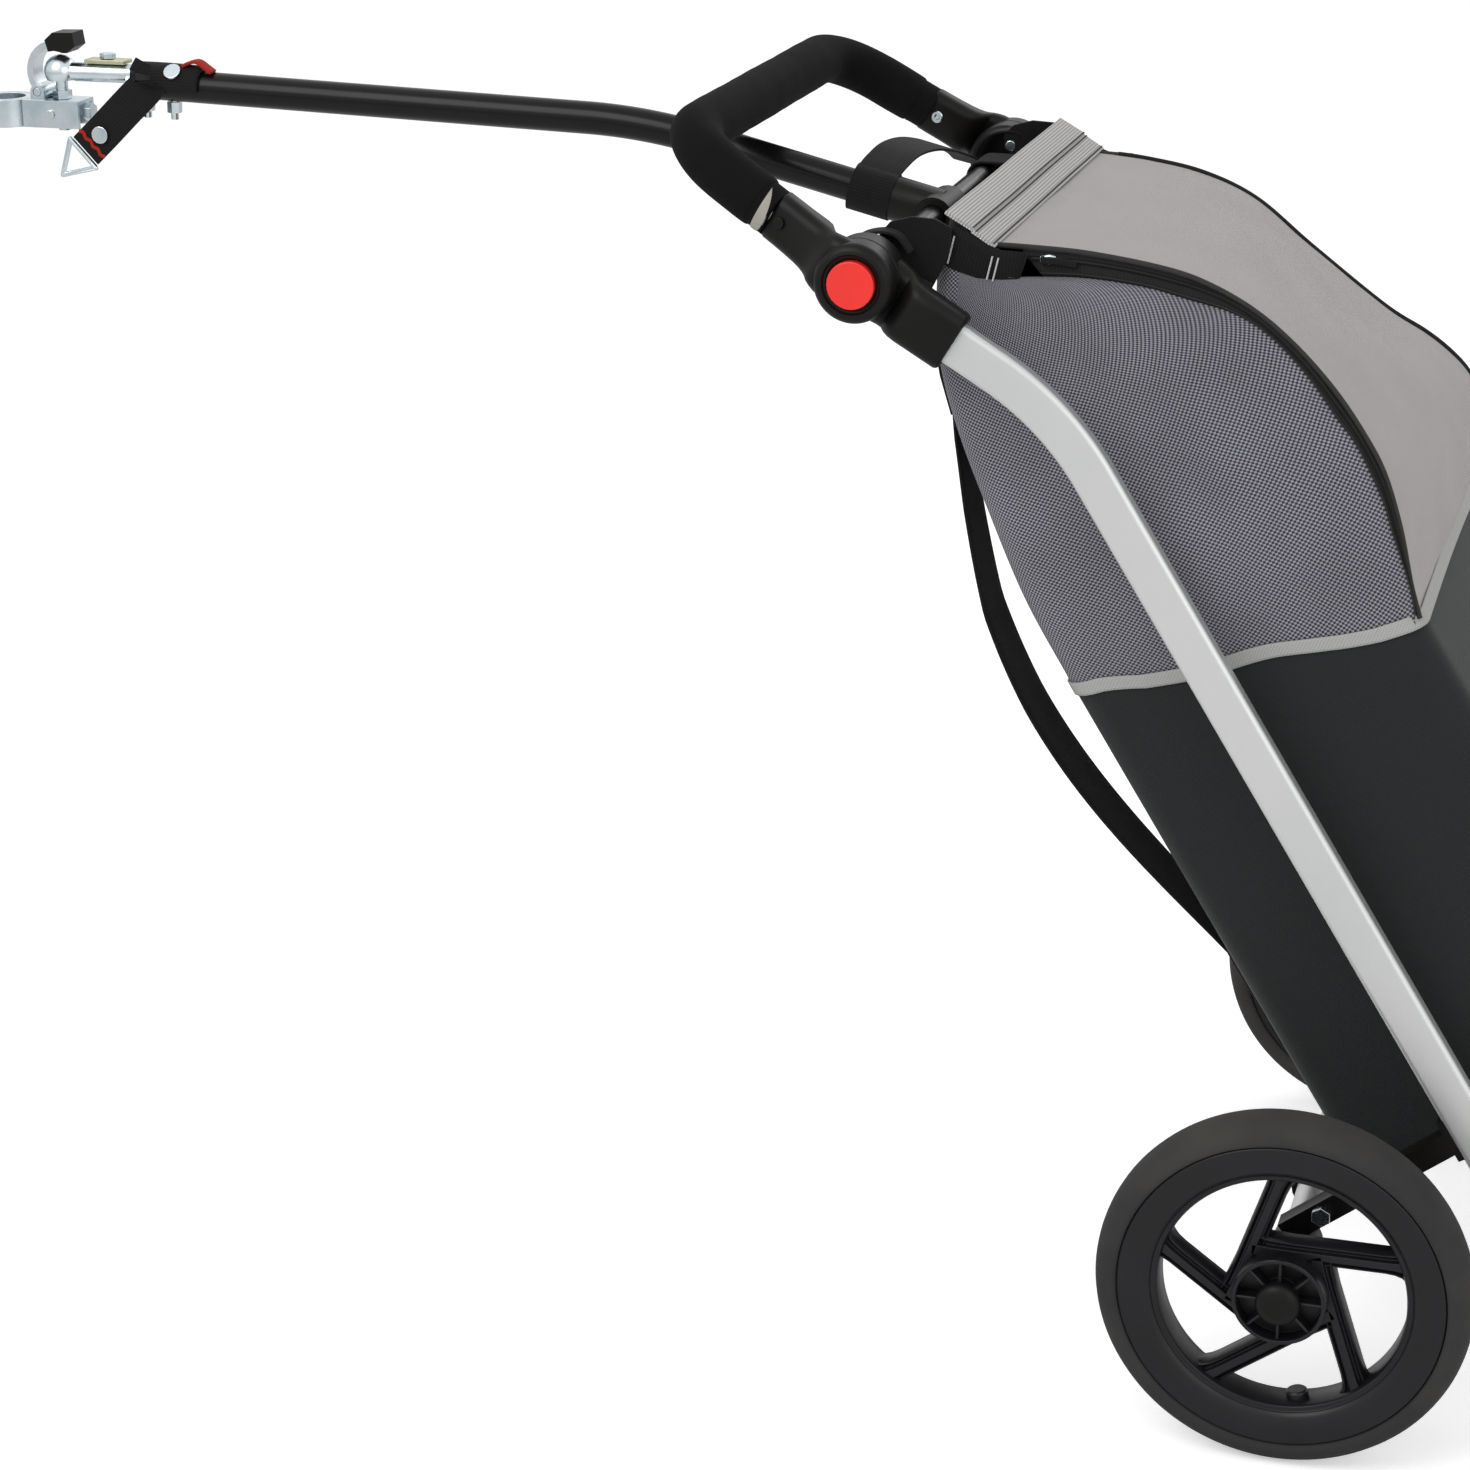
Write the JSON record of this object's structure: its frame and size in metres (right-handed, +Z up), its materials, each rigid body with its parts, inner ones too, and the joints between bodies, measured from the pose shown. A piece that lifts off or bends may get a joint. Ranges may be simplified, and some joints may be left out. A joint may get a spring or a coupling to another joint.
{
  "type": "bike shopping trailer",
  "caption": "Two-wheeled shopping trolley with a lidded fabric bag on an alloy frame, a folding loop handle and a bent drawbar that hooks onto a ball under a bike's seat",
  "frame": {"origin": "centre of the seat post clamp's bore, at the middle of its height", "axes": "+X points to the rear of the bike and trailer, +Y to the right-hand wheel, +Z up; the trailer leans as it does when it is towed"},
  "size_m": [1.2689, 0.6166, 0.8719],
  "materials": {
    "zinc_steel": "zinc plated",
    "olive_steel": "yellow zinc plated",
    "alloy": "satin anodised",
    "black_tube": "gloss black",
    "black_plastic": "moulded",
    "grey_plastic": "moulded",
    "black_foam": "closed foam",
    "tyre_rubber": "matt",
    "red_plastic": "moulded",
    "webbing": "woven tape",
    "grey_cloth": "woven",
    "black_cloth": "woven"
  },
  "bodies": {
    "bike_clamp": {"clamp_ring": "zinc_steel", "clamp_bolt": "zinc_steel", "coupling_bracket": "zinc_steel", "bracket_rivet": "zinc_steel", "bracket_bolt": "zinc_steel", "latch_pin": "zinc_steel"},
    "latch": {"latch_hook": "zinc_steel", "latch_grip": "black_plastic"},
    "swivel": {"ball_stud": "zinc_steel", "ball_nut": "zinc_steel"},
    "trailer": {"ball_socket": "zinc_steel", "lock_plate": "olive_steel", "lock_screw": "zinc_steel", "drawbar_tube": "black_tube", "drawbar_bolt_front": "zinc_steel", "drawbar_bolt_rear": "zinc_steel", "drawbar_tee": "black_plastic", "tee_cap": "grey_plastic", "safety_strap": "webbing", "strap_snap_upper": "zinc_steel", "strap_snap_lower": "zinc_steel", "safety_ring": "zinc_steel", "tie_strap": "webbing", "top_tube": "black_tube", "axle": "alloy", "deck_bar": "black_tube", "side_tube_left": "alloy", "side_tube_right": "alloy", "foot_left": "black_plastic", "foot_right": "black_plastic", "axle_bracket_left": "black_plastic", "axle_bracket_right": "black_plastic", "axle_bracket_bolt_left": "zinc_steel", "axle_bracket_bolt_right": "zinc_steel", "sleeve_left": "black_plastic", "sleeve_right": "black_plastic", "lock_pin_left": "zinc_steel", "lock_pin_right": "zinc_steel", "bag_shell": "black_cloth", "bag_tab": "grey_cloth", "hang_loop_left": "webbing", "hang_loop_right": "webbing", "carry_strap_left": "webbing", "carry_strap_right": "webbing"},
    "lid": {"bag_lid": "grey_cloth"},
    "handle": {"handle_tube": "alloy", "handle_grip": "black_foam", "handle_arm_left": "black_plastic", "handle_arm_right": "black_plastic", "arm_rivet_left": "zinc_steel", "arm_rivet_right": "zinc_steel"},
    "button_left": {"push_button_left": "red_plastic"},
    "button_right": {"push_button_right": "red_plastic"},
    "wheel_left": {"tyre_left": "tyre_rubber", "wheel_rim_left": "black_plastic", "wheel_cap_left": "black_plastic"},
    "wheel_right": {"tyre_right": "tyre_rubber", "wheel_rim_right": "black_plastic", "wheel_cap_right": "black_plastic"}
  },
  "joints": [
    {"name": "hitch_yaw", "type": "hinge", "parent": "bike_clamp", "child": "swivel", "pos_m": [0.046, 0, 0.02988], "axis": [0, 0, 1], "range_deg": [-40, 40]},
    {"name": "hitch_pitch", "type": "hinge", "parent": "swivel", "child": "trailer", "pos_m": [0.046, 0, 0.02988], "axis": [0, 1, 0], "range_deg": [-8, 8]},
    {"name": "latch_swing", "type": "hinge", "parent": "bike_clamp", "child": "latch", "pos_m": [0.031, 0, 0.0158], "axis": [0, -1, 0], "range_deg": [0, 35]},
    {"name": "handle_fold", "type": "hinge", "parent": "trailer", "child": "handle", "pos_m": [0.70992, 0, -0.04207], "axis": [0, 1, 0], "range_deg": [0, 85]},
    {"name": "button_press_left", "type": "slide", "parent": "handle", "child": "button_left", "axis": [0, 1, 0], "range_m": [0, 0.0018], "stiffness_N_per_m": 400, "springref_m": -0.001},
    {"name": "button_press_right", "type": "slide", "parent": "handle", "child": "button_right", "axis": [0, -1, 0], "range_m": [0, 0.0018], "stiffness_N_per_m": 400, "springref_m": -0.001},
    {"name": "lid_open", "type": "hinge", "parent": "trailer", "child": "lid", "pos_m": [1.06992, 0, -0.24829], "axis": [0, 1, 0], "range_deg": [0, 100]},
    {"name": "wheel_spin_left", "type": "hinge", "parent": "trailer", "child": "wheel_left", "pos_m": [1.01536, -0.276, -0.6874], "axis": [0, 1, 0], "continuous": true},
    {"name": "wheel_spin_right", "type": "hinge", "parent": "trailer", "child": "wheel_right", "pos_m": [1.01536, 0.276, -0.6874], "axis": [0, 1, 0], "continuous": true}
  ]
}
